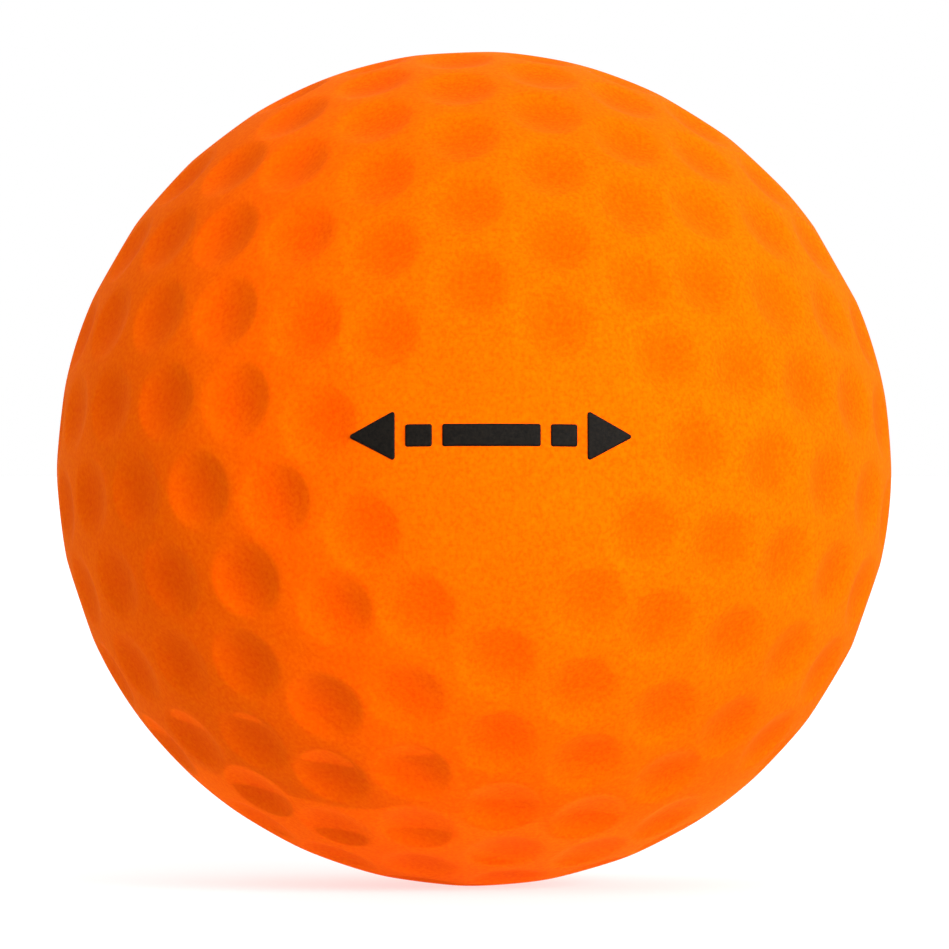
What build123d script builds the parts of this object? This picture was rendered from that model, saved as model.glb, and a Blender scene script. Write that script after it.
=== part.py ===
from build123d import *
from math import cos, radians, sin, sqrt
import os

# A golf ball. Millimetres and degrees, +Z up, the origin at the ball's centre. The smooth panel
# with the printed mark faces -Y, which is called the front below.

# The ball and its layers
ball_diameter = 42.67            # the smallest diameter that the rules of golf allow
cover_thickness = 1.3
mantle_thickness = 1.0
ball_radius = ball_diameter / 2
mantle_radius = ball_radius - cover_thickness
core_radius = mantle_radius - mantle_thickness

# One dimple: a shallow spherical bowl
dimple_diameter = 3.7            # at the rim, which the ball's own surface meets
dimple_depth = 0.3               # from the plane of the rim to the bottom
rim_overlap = 0.05               # how far the cutter's wall stands outside the rim
cutter_headroom = 0.2            # how far the cutter stands out of the ball

# The printed mark: a line broken by two gaps, with an arrowhead at each end
mark_direction = (0.040, -0.996, 0.077)
mark_length = 14.0
mark_height = 2.5
ink_thickness = 0.1
arrowhead_length = 2.3
line_height = 1.1
line_length = 4.8
dash_length = 1.3
mark_gap = 0.5
mark_corner_radius = 0.12

# The dimples lie in rows. Four sectors of rows meet at the front, round the smooth panel, and run
# round the ball to meet again at the back. The rows of the two side sectors are circles of
# latitude about one pole, almost upright, and those of the top and the bottom are circles about
# another, almost level.
side_pole = Vector(0.111, 0.137, 0.984).normalized()
top_pole = Vector(0.998, -0.002, 0.061).normalized()
front = Vector(0, -1, 0)
dimple_step = 12.9               # from a dimple to the next along a row, as an angle of arc
closest_dimples = 10.2           # no two dimples are nearer than this angle, centre to centre
closest_filling = 11.4           # the same, for the dimples that fill the middle of the back
lean_reach = 30                  # rows lean aside within this angle of the front
row_end = 186                    # no row runs further round than this angle from the front

# A sector's direction is +1 if its rows leave the front to the right about side_pole, or downwards
# about top_pole. Each start is the angle from the front to the first dimple of a row, for row
# after row from the first one's latitude. Lean is how far the rows would have turned aside at the
# front itself, and middle is the angle that the front ends of the rows are counted from.
side_rows = {"pole": side_pole, "pitch": -12.0, "middle": -1.6}
top_rows = {"pole": top_pole, "pitch": 11.5, "middle": 0.8}
sectors = [
    {**side_rows, "direction": 1, "lean": -2, "latitude": 35.0, "number": -3,
     "starts": [20, 33, 26, 32, 26, 18, 25, 33, 44]},
    {**side_rows, "direction": -1, "lean": -8, "latitude": 35.0, "number": -3,
     "starts": [34, 15, 24, 20, 13, 17, 35, 42, 54]},
    {**top_rows, "direction": -1, "lean": -2, "latitude": -56.6, "number": -5,
     "starts": [46, 36, 30, 24, 20, 26, 20, 27, 30, 31, 36]},
    {**top_rows, "direction": 1, "lean": 5, "latitude": -45.1, "number": -4,
     "starts": [17, 16, 20, 18, 26, 19, 11, 16, 22]},
]


def on_sphere(pole, latitude, angle):
    """The unit vector at a latitude about a pole, at an angle round it from the front."""
    ahead = (front - pole * front.dot(pole)).normalized()
    aside = pole.cross(ahead)
    around = ahead * cos(radians(angle)) + aside * sin(radians(angle))
    return pole * sin(radians(latitude)) + around * cos(radians(latitude))


def row_dimples(sector, index):
    """The dimples of one row, from the front to the far side, as (filling, rank, unit vector).

    Those past the row's far end are filling for the middle of the back. The rank is the row's
    number, counted from the middle of its sector, or a filling dimple's angle from the front.
    """
    start = sector["starts"][index]
    latitude = sector["latitude"] + index * sector["pitch"]
    row_number = abs(sector["number"] + index)
    span = 180 - 2 * start
    gaps = round(span * cos(radians(latitude)) / dimple_step)
    found = []
    for count in range(int(180 * gaps / span) + 1):
        angle = start + count * span / gaps
        if angle > row_end:
            break
        lean = sector["lean"] * max(0, 1 - angle / lean_reach)
        turned = sector["direction"] * angle + sector["middle"]
        direction = on_sphere(sector["pole"], latitude + lean, turned)
        filling = count > gaps
        found.append((filling, angle if filling else row_number, direction))
    return found


def dimple_directions():
    """Unit vectors to every dimple, less those that come too near one of a lower rank."""
    wanted = []
    for sector in sectors:
        for index in range(len(sector["starts"])):
            wanted += row_dimples(sector, index)
    wanted.sort(key=lambda dimple: dimple[:2])
    kept = []
    for filling, _, direction in wanted:
        nearest = closest_filling if filling else closest_dimples
        if all(direction.dot(other) < cos(radians(nearest)) for other in kept):
            kept.append(direction)
    return kept


# Core: one moulded rubber sphere
with BuildPart() as core:
    Sphere(core_radius)
core.part.label = "core"

# Mantle: a thin layer moulded over the core
with BuildPart() as mantle:
    Sphere(mantle_radius)
    Sphere(core_radius, mode=Mode.SUBTRACT)
mantle.part.label = "mantle"

# Dimple cutter: a bowl with an upright wall outside the rim, along +Z from the ball's centre
rim_radius = dimple_diameter / 2
rim_height = sqrt(ball_radius**2 - rim_radius**2)
bowl_radius = (rim_radius**2 + dimple_depth**2) / (2 * dimple_depth)
bowl_centre = rim_height - dimple_depth + bowl_radius
wall_radius = rim_radius + rim_overlap


def bowl_height(radius):
    """Height of the bowl's surface at a distance from its axis."""
    return bowl_centre - sqrt(bowl_radius**2 - radius**2)


with BuildPart() as dimple_cutter:
    with BuildSketch(Plane.XZ):
        with BuildLine():
            bottom = (0, bowl_height(0))
            wall_foot = (wall_radius, bowl_height(wall_radius))
            top = ball_radius + cutter_headroom
            ThreePointArc(bottom, (wall_radius / 2, bowl_height(wall_radius / 2)), wall_foot)
            Polyline(wall_foot, (wall_radius, top), (0, top), bottom)
        make_face()
    revolve(axis=Axis.Z)

# Cover: the dimpled shell
directions = dimple_directions()
with BuildPart() as cover:
    Sphere(ball_radius)
    with Locations(*[Plane(origin=(0, 0, 0), z_dir=direction) for direction in directions]):
        add(dimple_cutter.part, mode=Mode.SUBTRACT)
    Sphere(mantle_radius, mode=Mode.SUBTRACT)
cover.part.label = "cover"

# Printed mark: islands of ink that lie on the smooth panel, each cut out of a thin shell
mark_normal = Vector(*mark_direction).normalized()
mark_plane = Plane(origin=(0, 0, 0), x_dir=Vector(0, 0, 1).cross(mark_normal), z_dir=mark_normal)
ink_radius = ball_radius + ink_thickness
mark_reach = ink_radius + 1      # how far the outlines run out from the ball's centre, past the ink

with BuildPart() as ink_shell:
    Sphere(ink_radius)
    Sphere(ball_radius, mode=Mode.SUBTRACT)

dash_centre = line_length / 2 + mark_gap + dash_length / 2
with BuildPart() as centre_line:
    with BuildSketch(mark_plane):
        RectangleRounded(line_length, line_height, mark_corner_radius)
    extrude(amount=mark_reach)
    add(ink_shell.part, mode=Mode.INTERSECT)
centre_line.part.label = "centre_line"


def ink_dash(side):
    """A short dash beside the centre line: side is +1 on the right and -1 on the left."""
    with BuildPart() as dash:
        with BuildSketch(mark_plane):
            with Locations((side * dash_centre, 0)):
                RectangleRounded(dash_length, line_height, mark_corner_radius)
        extrude(amount=mark_reach)
        add(ink_shell.part, mode=Mode.INTERSECT)
    return dash.part


def ink_arrowhead(side):
    """An arrowhead at the end of the mark, pointing away from the centre line."""
    tip = side * mark_length / 2
    base = tip - side * arrowhead_length
    with BuildPart() as arrowhead:
        with BuildSketch(mark_plane) as outline:
            with BuildLine():
                Polyline((tip, 0), (base, mark_height / 2), (base, -mark_height / 2), close=True)
            make_face()
            fillet(outline.vertices(), mark_corner_radius)
        extrude(amount=mark_reach)
        add(ink_shell.part, mode=Mode.INTERSECT)
    return arrowhead.part


left_dash = ink_dash(-1)
left_dash.label = "left_dash"
right_dash = ink_dash(1)
right_dash.label = "right_dash"
left_arrowhead = ink_arrowhead(-1)
left_arrowhead.label = "left_arrowhead"
right_arrowhead = ink_arrowhead(1)
right_arrowhead.label = "right_arrowhead"

os.makedirs("parts", exist_ok=True)
export_step(core.part, "parts/core.step")
export_step(mantle.part, "parts/mantle.step")
export_step(cover.part, "parts/cover.step")
export_step(centre_line.part, "parts/centre_line.step")
export_step(left_dash, "parts/left_dash.step")
export_step(right_dash, "parts/right_dash.step")
export_step(left_arrowhead, "parts/left_arrowhead.step")
export_step(right_arrowhead, "parts/right_arrowhead.step")
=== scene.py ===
from math import cos, pi, radians, sin, sqrt

import bpy
import numpy as np
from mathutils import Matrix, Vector


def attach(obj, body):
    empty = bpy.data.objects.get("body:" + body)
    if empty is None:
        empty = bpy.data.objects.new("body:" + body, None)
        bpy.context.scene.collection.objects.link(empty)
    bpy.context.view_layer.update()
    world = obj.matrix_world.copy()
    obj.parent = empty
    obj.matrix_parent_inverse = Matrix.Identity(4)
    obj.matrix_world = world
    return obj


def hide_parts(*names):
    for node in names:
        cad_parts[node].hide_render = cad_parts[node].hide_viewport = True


# The looks of a golf ball: a dimpled cover with soft rims, the printed mark, and the two layers
# inside. Metres, +Z up, the origin at the ball's centre. The smooth panel faces -Y, the front.

MM = 0.001

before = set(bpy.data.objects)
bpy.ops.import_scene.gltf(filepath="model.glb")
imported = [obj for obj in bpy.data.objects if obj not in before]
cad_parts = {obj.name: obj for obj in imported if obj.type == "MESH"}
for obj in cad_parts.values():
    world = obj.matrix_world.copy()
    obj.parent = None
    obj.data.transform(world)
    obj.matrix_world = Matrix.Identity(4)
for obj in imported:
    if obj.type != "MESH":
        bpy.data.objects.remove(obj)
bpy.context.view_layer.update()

# The ball, as in the CAD part
BALL_RADIUS = 42.67 / 2 * MM
COVER_THICKNESS = 1.3 * MM
INNER_RADIUS = BALL_RADIUS - COVER_THICKNESS

# One dimple: a paraboloid whose rim is rounded off into the land round it
DIMPLE_RADIUS = 1.95 * MM
DIMPLE_DEPTH = 0.38 * MM
RIM_SOFTNESS = 0.04 * MM

# The grids that the cover's two skins are made of: squares along each edge of a cube's face
OUTER_SQUARES = 240
INNER_SQUARES = 40
DIRECTIONS_AT_ONCE = 20000       # the drop is worked out for so many directions at a time

# The printed mark, as in the CAD part
MARK_DIRECTION = (0.040, -0.996, 0.077)
MARK_LENGTH = 14.0 * MM
MARK_HEIGHT = 2.5 * MM
INK_THICKNESS = 0.1 * MM
ARROWHEAD_LENGTH = 2.3 * MM
LINE_HEIGHT = 1.1 * MM
LINE_LENGTH = 4.8 * MM
DASH_LENGTH = 1.3 * MM
MARK_GAP = 0.5 * MM
MARK_CORNER_RADIUS = 0.12 * MM

# The rows of dimples, as in the CAD part
SIDE_POLE = Vector((0.111, 0.137, 0.984)).normalized()
TOP_POLE = Vector((0.998, -0.002, 0.061)).normalized()
FRONT = Vector((0, -1, 0))
DIMPLE_STEP = 12.9               # degrees, as the next four are
CLOSEST_DIMPLES = 10.2
CLOSEST_FILLING = 11.4
LEAN_REACH = 30
ROW_END = 186
SIDE_ROWS = {"pole": SIDE_POLE, "pitch": -12.0, "middle": -1.6}
TOP_ROWS = {"pole": TOP_POLE, "pitch": 11.5, "middle": 0.8}
SECTORS = [
    {**SIDE_ROWS, "direction": 1, "lean": -2, "latitude": 35.0, "number": -3,
     "starts": [20, 33, 26, 32, 26, 18, 25, 33, 44]},
    {**SIDE_ROWS, "direction": -1, "lean": -8, "latitude": 35.0, "number": -3,
     "starts": [34, 15, 24, 20, 13, 17, 35, 42, 54]},
    {**TOP_ROWS, "direction": -1, "lean": -2, "latitude": -56.6, "number": -5,
     "starts": [46, 36, 30, 24, 20, 26, 20, 27, 30, 31, 36]},
    {**TOP_ROWS, "direction": 1, "lean": 5, "latitude": -45.1, "number": -4,
     "starts": [17, 16, 20, 18, 26, 19, 11, 16, 22]},
]


def on_sphere(pole, latitude, angle):
    """The unit vector at a latitude about a pole, at an angle round it from the front."""
    ahead = (FRONT - pole * FRONT.dot(pole)).normalized()
    aside = pole.cross(ahead)
    around = ahead * cos(radians(angle)) + aside * sin(radians(angle))
    return pole * sin(radians(latitude)) + around * cos(radians(latitude))


def row_dimples(sector, index):
    """The dimples of one row, from the front to the far side, as (filling, rank, unit vector).

    Those past the row's far end are filling for the middle of the back. The rank is the row's
    number, counted from the middle of its sector, or a filling dimple's angle from the front.
    """
    start = sector["starts"][index]
    latitude = sector["latitude"] + index * sector["pitch"]
    row_number = abs(sector["number"] + index)
    span = 180 - 2 * start
    gaps = round(span * cos(radians(latitude)) / DIMPLE_STEP)
    found = []
    for count in range(int(180 * gaps / span) + 1):
        angle = start + count * span / gaps
        if angle > ROW_END:
            break
        lean = sector["lean"] * max(0, 1 - angle / LEAN_REACH)
        turned = sector["direction"] * angle + sector["middle"]
        direction = on_sphere(sector["pole"], latitude + lean, turned)
        filling = count > gaps
        found.append((filling, angle if filling else row_number, direction))
    return found


def dimple_directions():
    """Unit vectors to every dimple, less those that come too near one of a lower rank."""
    wanted = []
    for sector in SECTORS:
        for index in range(len(sector["starts"])):
            wanted += row_dimples(sector, index)
    wanted.sort(key=lambda dimple: dimple[:2])
    kept = []
    for filling, _, direction in wanted:
        nearest = CLOSEST_FILLING if filling else CLOSEST_DIMPLES
        if all(direction.dot(other) < cos(radians(nearest)) for other in kept):
            kept.append(direction)
    return np.array(kept)


def cube_sphere(squares):
    """Unit vectors and quads of a sphere made of the six faces of a cube, with shared edges."""
    steps = np.tan(np.linspace(-pi / 4, pi / 4, squares + 1))
    a, b = np.meshgrid(steps, steps, indexing="ij")
    ones = np.ones_like(a)
    sides = [(ones, a, b), (-ones, b, a), (b, ones, a), (a, -ones, b), (a, b, ones), (b, a, -ones)]
    points = np.concatenate([np.stack(side, -1).reshape(-1, 3) for side in sides])
    points /= np.linalg.norm(points, axis=1)[:, None]
    row = squares + 1
    corner = (np.arange(squares)[:, None] * row + np.arange(squares)).ravel()
    quad = np.stack([corner, corner + row, corner + row + 1, corner + 1], -1)
    quads = np.concatenate([quad + side * row * row for side in range(6)])
    _, first, shared = np.unique(np.round(points, 7), axis=0, return_index=True, return_inverse=True)
    return points[first], shared.ravel()[quads]


def dimple_drop(directions, dimples):
    """How far the cover's surface lies below the ball's sphere in each direction."""
    drop = np.zeros(len(directions))
    for start in range(0, len(directions), DIRECTIONS_AT_ONCE):
        part = slice(start, start + DIRECTIONS_AT_ONCE)
        nearest = np.clip((directions[part] @ dimples.T).max(axis=1), -1, 1)
        away = np.arccos(nearest) * BALL_RADIUS / DIMPLE_RADIUS
        bowl = DIMPLE_DEPTH * (1 - away**2)
        drop[part] = RIM_SOFTNESS * np.logaddexp(0, bowl / RIM_SOFTNESS)
    return drop


def mesh_object(name, vertices, faces, material):
    """A smooth-shaded mesh object that holds the given vertices and faces."""
    mesh = bpy.data.meshes.new(name)
    mesh.from_pydata(vertices.tolist(), [], faces)
    mesh.polygons.foreach_set("use_smooth", [True] * len(mesh.polygons))
    mesh.materials.append(material)
    mesh.update()
    made = bpy.data.objects.new(name, mesh)
    bpy.context.scene.collection.objects.link(made)
    return made


# ---- Materials ----

def new_material(name):
    """A node material, with its shader and a function that adds a node and links its inputs."""
    material = bpy.data.materials.new(name)
    material.use_nodes = True
    tree = material.node_tree
    shader = tree.nodes["Principled BSDF"]

    def node(kind, inputs, **settings):
        made = tree.nodes.new(kind)
        for key, value in settings.items():
            setattr(made, key, value)
        for socket, value in inputs.items():
            if isinstance(value, bpy.types.NodeSocket):
                tree.links.new(value, made.inputs[socket])
            else:
                made.inputs[socket].default_value = value
        return made

    return material, shader, node


def noise(node, where, size, detail=3.0, roughness=0.55):
    """A noise whose blotches are about `size` metres across, from 0 to 1."""
    settings = {"Vector": where, "Scale": 1 / size, "Detail": detail, "Roughness": roughness}
    return node("ShaderNodeTexNoise", settings).outputs["Fac"]


def blend_colours(node, factor, low, high, start, end):
    """A colour that goes from low to high while factor goes from start to end."""
    ramp = node("ShaderNodeValToRGB", {"Fac": factor})
    ramp.color_ramp.elements[0].position = start
    ramp.color_ramp.elements[0].color = (*low, 1)
    ramp.color_ramp.elements[1].position = end
    ramp.color_ramp.elements[1].color = (*high, 1)
    return ramp.outputs["Color"]


def multiplied(node, first, second):
    """The product of two colours. Sockets 6, 7 and 2 of a Mix node are the ones for colours."""
    mix = node("ShaderNodeMix", {}, data_type="RGBA", blend_type="MULTIPLY")
    mix.inputs["Factor"].default_value = 1.0
    tree = mix.id_data
    tree.links.new(first, mix.inputs[6])
    tree.links.new(second, mix.inputs[7])
    return mix.outputs[2]


def ranged(node, value, low, high):
    """A value from 0 to 1 turned into one from low to high."""
    settings = {"Value": value, "To Min": low, "To Max": high}
    return node("ShaderNodeMapRange", settings).outputs["Result"]


def cover_material():
    """Matt orange cover: fine speckle, faint mottling, and painted shade that deepens the colour in
    the dimples.
    """
    material, shader, node = new_material("cover_orange")
    where = node("ShaderNodeTexCoord", {}).outputs["Object"]
    mottle = noise(node, where, 5.0 * MM, 2.0)
    speckle = noise(node, where, 0.19 * MM, 1.0, 0.6)
    orange = blend_colours(node, mottle, (0.96, 0.134, 0.0), (0.98, 0.147, 0.0), 0.3, 0.7)
    grain = blend_colours(node, speckle, (0.94, 0.62, 0.8), (1.0, 1.0, 1.0), 0.25, 0.75)
    # Painted shade: the colour turns darker and redder the deeper a point lies in a dimple, standing
    # in for shade in the hollows.
    from_centre = node("ShaderNodeVectorMath", {0: where}, operation="LENGTH").outputs["Value"]
    reach = {"From Min": BALL_RADIUS - DIMPLE_DEPTH, "From Max": BALL_RADIUS}
    height = node("ShaderNodeMapRange", {"Value": from_centre, **reach}).outputs["Result"]
    painted_dimple_shade = blend_colours(node, height, (0.93, 0.79, 0.8), (1.0, 1.0, 1.0), 0.0, 1.0)
    colour = multiplied(node, multiplied(node, orange, grain), painted_dimple_shade)
    rough = ranged(node, noise(node, where, 1.2 * MM, 5.0), 0.7, 0.85)
    bump = node("ShaderNodeBump", {"Height": speckle, "Strength": 0.15, "Distance": 0.012 * MM})
    tree = material.node_tree
    tree.links.new(colour, shader.inputs["Base Color"])
    tree.links.new(rough, shader.inputs["Roughness"])
    tree.links.new(bump.outputs["Normal"], shader.inputs["Normal"])
    shader.inputs["Specular IOR Level"].default_value = 0.004
    shader.inputs["Sheen Weight"].default_value = 0.12
    shader.inputs["Sheen Roughness"].default_value = 0.5
    shader.inputs["Sheen Tint"].default_value = (1.0, 0.45, 0.05, 1)
    return material


def ink_material():
    """Satin black ink: a slightly uneven film with thinner, greyer flecks."""
    material, shader, node = new_material("ink_black")
    where = node("ShaderNodeTexCoord", {}).outputs["Object"]
    flecks = noise(node, where, 0.15 * MM, 4.0, 0.7)
    colour = blend_colours(node, flecks, (0.002, 0.0015, 0.001), (0.012, 0.009, 0.006), 0.35, 0.8)
    rough = ranged(node, noise(node, where, 0.4 * MM), 0.6, 0.8)
    bump = node("ShaderNodeBump", {"Height": flecks, "Strength": 0.4, "Distance": 0.01 * MM})
    tree = material.node_tree
    tree.links.new(colour, shader.inputs["Base Color"])
    tree.links.new(rough, shader.inputs["Roughness"])
    tree.links.new(bump.outputs["Normal"], shader.inputs["Normal"])
    shader.inputs["Specular IOR Level"].default_value = 0.1
    return material


def core_material():
    """Grey moulded rubber with flecks of filler."""
    material, shader, node = new_material("core_rubber")
    where = node("ShaderNodeTexCoord", {}).outputs["Object"]
    flecks = noise(node, where, 0.5 * MM, 5.0, 0.8)
    colour = blend_colours(node, flecks, (0.45, 0.46, 0.49), (0.66, 0.67, 0.68), 0.35, 0.65)
    bump = node("ShaderNodeBump", {"Height": flecks, "Strength": 0.3, "Distance": 0.03 * MM})
    tree = material.node_tree
    tree.links.new(colour, shader.inputs["Base Color"])
    tree.links.new(ranged(node, flecks, 0.6, 0.85), shader.inputs["Roughness"])
    tree.links.new(bump.outputs["Normal"], shader.inputs["Normal"])
    return material


def mantle_material():
    """Off-white moulded ionomer with faint flow marks."""
    material, shader, node = new_material("mantle_ionomer")
    where = node("ShaderNodeTexCoord", {}).outputs["Object"]
    flow = noise(node, where, 6.0 * MM, 3.0)
    colour = blend_colours(node, flow, (0.80, 0.77, 0.69), (0.88, 0.86, 0.80), 0.3, 0.7)
    bump = node("ShaderNodeBump", {"Height": flow, "Strength": 0.15, "Distance": 0.02 * MM})
    tree = material.node_tree
    tree.links.new(colour, shader.inputs["Base Color"])
    tree.links.new(ranged(node, flow, 0.35, 0.5), shader.inputs["Roughness"])
    tree.links.new(bump.outputs["Normal"], shader.inputs["Normal"])
    return material


# ---- The cover ----

def build_cover(material):
    """The dimpled shell: an outer skin of soft-rimmed dimples and a smooth inner one."""
    outward, outer_quads = cube_sphere(OUTER_SQUARES)
    radii = BALL_RADIUS - dimple_drop(outward, dimple_directions())
    inward, inner_quads = cube_sphere(INNER_SQUARES)
    vertices = np.concatenate([outward * radii[:, None], inward * INNER_RADIUS])
    faces = outer_quads.tolist() + (inner_quads[:, ::-1] + len(outward)).tolist()
    cover = mesh_object("cover_shell", vertices, faces, material)
    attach(cover, "root")
    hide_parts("cover")


# ---- The printed mark ----

MARK_NORMAL = Vector(MARK_DIRECTION).normalized()
MARK_RIGHT = Vector((0, 0, 1)).cross(MARK_NORMAL).normalized()
MARK_UP = MARK_NORMAL.cross(MARK_RIGHT)
EDGE_STEPS = 6                   # rings round the rounded edge of the ink
TOP_RINGS = 8                    # rings from that edge to the middle of an island
ARC_STEPS = 6                    # points round a corner
SIDE_STEP = 0.15 * MM            # points along a side
INK_ROOT = 0.03 * MM             # how far the ink's wall reaches into the cover


def rounded_outline(corners, radius):
    """Points round a polygon whose sides lie `radius` outside the one through the corners."""
    count = len(corners)
    outline = []
    for index in range(count):
        before, here, after = (np.array(corners[(index + turn) % count]) for turn in (-1, 0, 1))
        first = np.arctan2(*(here - before)[::-1]) - pi / 2
        second = np.arctan2(*(after - here)[::-1]) - pi / 2
        turned = (second - first) % (2 * pi)
        for step in range(ARC_STEPS + 1):
            angle = first + turned * step / ARC_STEPS
            outline.append(here + radius * np.array((cos(angle), sin(angle))))
        aside = radius * np.array((cos(second), sin(second)))
        steps = max(1, round(np.linalg.norm(after - here) / SIDE_STEP))
        for step in range(1, steps):
            outline.append(here + (after - here) * step / steps + aside)
    return np.array(outline)


def on_ball(points, height):
    """Points of the mark's plane, carried out along its normal to a height above the ball."""
    reach = np.sqrt((BALL_RADIUS + height) ** 2 - (points**2).sum(axis=1))
    right, up, normal = (np.array(axis) for axis in (MARK_RIGHT, MARK_UP, MARK_NORMAL))
    return points[:, :1] * right + points[:, 1:] * up + reach[:, None] * normal


def build_ink(name, node, corners, material):
    """An island of ink: a wall, an edge rounded in a quarter circle and a top that hugs the ball."""
    outline = rounded_outline(corners, MARK_CORNER_RADIUS)
    rings = [on_ball(outline, -INK_ROOT)]
    for step in range(EDGE_STEPS + 1):
        angle = pi / 2 * step / EDGE_STEPS
        inset = INK_THICKNESS * (1 - cos(angle))
        rings.append(on_ball(rounded_outline(corners, MARK_CORNER_RADIUS - inset),
                             INK_THICKNESS * sin(angle)))
    rim = rounded_outline(corners, MARK_CORNER_RADIUS - INK_THICKNESS)
    middle = rim.mean(axis=0)
    for step in range(1, TOP_RINGS):
        rings.append(on_ball(middle + (rim - middle) * (1 - step / TOP_RINGS), INK_THICKNESS))
    vertices = np.concatenate(rings + [on_ball(middle[None], INK_THICKNESS)])
    count = len(outline)
    faces = []
    for ring in range(len(rings) - 1):
        for index in range(count):
            after = (index + 1) % count
            low, high = ring * count, (ring + 1) * count
            faces.append((low + index, low + after, high + after, high + index))
    last = (len(rings) - 1) * count
    top = len(vertices) - 1
    faces += [(last + index, last + (index + 1) % count, top) for index in range(count)]
    faces.append(tuple(reversed(range(count))))
    island = mesh_object(name, vertices, faces, material)
    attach(island, "root")
    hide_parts(node)


def bar_corners(centre, length):
    """Inner corners of a bar of the line, less its corner radius all round."""
    half_length = length / 2 - MARK_CORNER_RADIUS
    half_height = LINE_HEIGHT / 2 - MARK_CORNER_RADIUS
    return [(centre - half_length, -half_height), (centre + half_length, -half_height),
            (centre + half_length, half_height), (centre - half_length, half_height)]


def arrowhead_corners(side):
    """Inner corners of an arrowhead, less its corner radius all round: side is +1 or -1."""
    half_height = MARK_HEIGHT / 2
    slope = sqrt(half_height**2 + ARROWHEAD_LENGTH**2) / half_height
    tip = MARK_LENGTH / 2 - MARK_CORNER_RADIUS * slope
    base = MARK_LENGTH / 2 - ARROWHEAD_LENGTH + MARK_CORNER_RADIUS
    reach = (tip - base) * half_height / ARROWHEAD_LENGTH
    corners = [(side * tip, 0), (side * base, side * reach), (side * base, -side * reach)]
    return corners


def build_mark(material):
    """The five islands: a line, a dash on each side of it and an arrowhead at each end."""
    dash_centre = LINE_LENGTH / 2 + MARK_GAP + DASH_LENGTH / 2
    build_ink("ink_line", "centre_line", bar_corners(0, LINE_LENGTH), material)
    build_ink("ink_dash_left", "left_dash", bar_corners(-dash_centre, DASH_LENGTH), material)
    build_ink("ink_dash_right", "right_dash", bar_corners(dash_centre, DASH_LENGTH), material)
    build_ink("ink_arrowhead_left", "left_arrowhead", arrowhead_corners(-1), material)
    build_ink("ink_arrowhead_right", "right_arrowhead", arrowhead_corners(1), material)


# ---- Studio ----

FLOOR_HALF = 20.0                # the floor runs so far from the ball each way
FLOOR_GLOW = 0.65                # the floor's own light, which only the camera sees
WORLD_FRONT = 0.05               # the world's strength in front of the ball
WORLD_BACK = 1.4                 # and behind it
FADE_START = -0.3                # where along Y the one begins to turn into the other
FADE_END = 0.5
CAMERA_DISTANCE = 20 * BALL_RADIUS
LENS = 316.2                     # millimetres, as the sensor's width is
SENSOR_WIDTH = 36
LENS_SHIFT = (0.0004, -0.0062)   # puts the ball where the frame has it, just above the middle

# A lamp's name, the way to it from the ball, its strength and how many degrees across it is
LAMPS = [
    ("key", (0.70, -0.67, 0.21), 1.46, 34),
    ("fill", (-0.1, -0.84, 0.52), 0.55, 60),
    ("under", (0.0, 0.32, -0.94), 0.95, 70),
]


def build_floor():
    """A wide pale floor that the ball rests on."""
    material, shader, node = new_material("floor_pale")
    shader.inputs["Base Color"].default_value = (0.45, 0.45, 0.45, 1)
    shader.inputs["Roughness"].default_value = 0.9
    shader.inputs["Specular IOR Level"].default_value = 0.0
    shader.inputs["Emission Color"].default_value = (1, 1, 1, 1)
    seen = node("ShaderNodeLightPath", {}).outputs["Is Camera Ray"]
    material.node_tree.links.new(ranged(node, seen, 0, FLOOR_GLOW), shader.inputs["Emission Strength"])
    corners = np.array([(-1, -1, 0), (1, -1, 0), (1, 1, 0), (-1, 1, 0)]) * FLOOR_HALF
    floor = mesh_object("floor", corners + np.array((0, 0, -BALL_RADIUS)), [(0, 1, 2, 3)], material)
    floor.visible_shadow = False


def add_sun(name, towards, strength, spread):
    """A soft distant lamp that stands in the direction `towards`, `spread` degrees across."""
    lamp = bpy.data.lights.new(name, "SUN")
    lamp.energy = strength * pi
    lamp.angle = radians(spread)
    made = bpy.data.objects.new(name, lamp)
    made.rotation_euler = Vector(towards).to_track_quat("Z", "Y").to_euler()
    bpy.context.scene.collection.objects.link(made)


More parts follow.
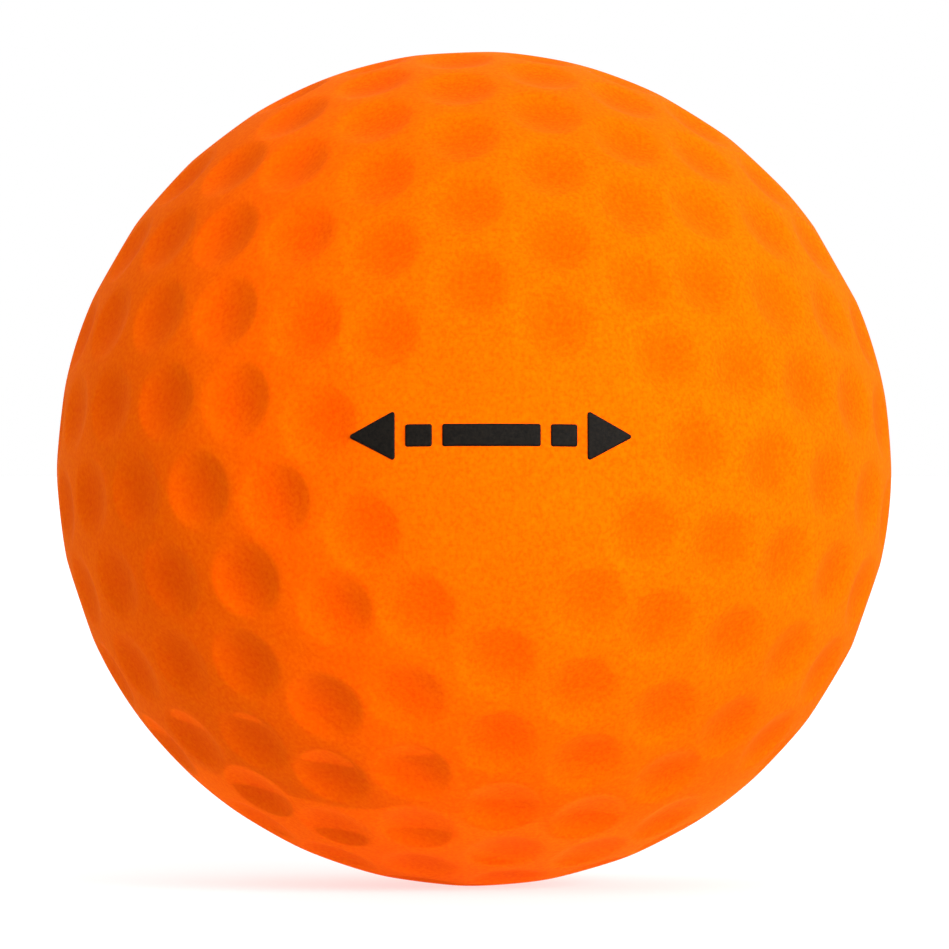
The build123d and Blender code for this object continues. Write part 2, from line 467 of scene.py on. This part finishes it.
def build_world():
    """White light that is stronger behind the ball, and a plain white ground for the camera."""
    world = bpy.data.worlds.new("studio")
    world.use_nodes = True
    bpy.context.scene.world = world
    tree = world.node_tree
    tree.nodes.clear()
    fill = tree.nodes.new("ShaderNodeBackground")
    fill.inputs["Color"].default_value = (1, 1, 1, 1)
    where = tree.nodes.new("ShaderNodeTexCoord")
    axes = tree.nodes.new("ShaderNodeSeparateXYZ")
    fade = tree.nodes.new("ShaderNodeMapRange")
    fade.interpolation_type = "SMOOTHSTEP"
    fade.inputs["From Min"].default_value = FADE_START
    fade.inputs["From Max"].default_value = FADE_END
    fade.inputs["To Min"].default_value = WORLD_FRONT
    fade.inputs["To Max"].default_value = WORLD_BACK
    tree.links.new(where.outputs["Generated"], axes.inputs["Vector"])
    tree.links.new(axes.outputs["Y"], fade.inputs["Value"])
    tree.links.new(fade.outputs["Result"], fill.inputs["Strength"])
    ground = tree.nodes.new("ShaderNodeBackground")
    ground.inputs["Color"].default_value = (1, 1, 1, 1)
    path = tree.nodes.new("ShaderNodeLightPath")
    choice = tree.nodes.new("ShaderNodeMixShader")
    output = tree.nodes.new("ShaderNodeOutputWorld")
    tree.links.new(path.outputs["Is Camera Ray"], choice.inputs["Fac"])
    tree.links.new(fill.outputs["Background"], choice.inputs[1])
    tree.links.new(ground.outputs["Background"], choice.inputs[2])
    tree.links.new(choice.outputs["Shader"], output.inputs["Surface"])


def build_camera():
    """A long lens in front of the ball, level with its centre."""
    lens = bpy.data.cameras.new("camera")
    lens.lens = LENS
    lens.sensor_width = SENSOR_WIDTH
    lens.shift_x, lens.shift_y = LENS_SHIFT
    lens.clip_start = 0.01
    lens.clip_end = 100
    camera = bpy.data.objects.new("camera", lens)
    camera.location = (0, -CAMERA_DISTANCE, 0)
    camera.rotation_euler = (pi / 2, 0, 0)
    bpy.context.scene.collection.objects.link(camera)
    bpy.context.scene.camera = camera


build_cover(cover_material())
build_mark(ink_material())
for inner_node, inner_material in (("core", core_material()), ("mantle", mantle_material())):
    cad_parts[inner_node].data.materials.clear()
    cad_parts[inner_node].data.materials.append(inner_material)

build_floor()
for lamp in LAMPS:
    add_sun(*lamp)
build_world()
build_camera()
bpy.context.scene.view_settings.view_transform = "Standard"
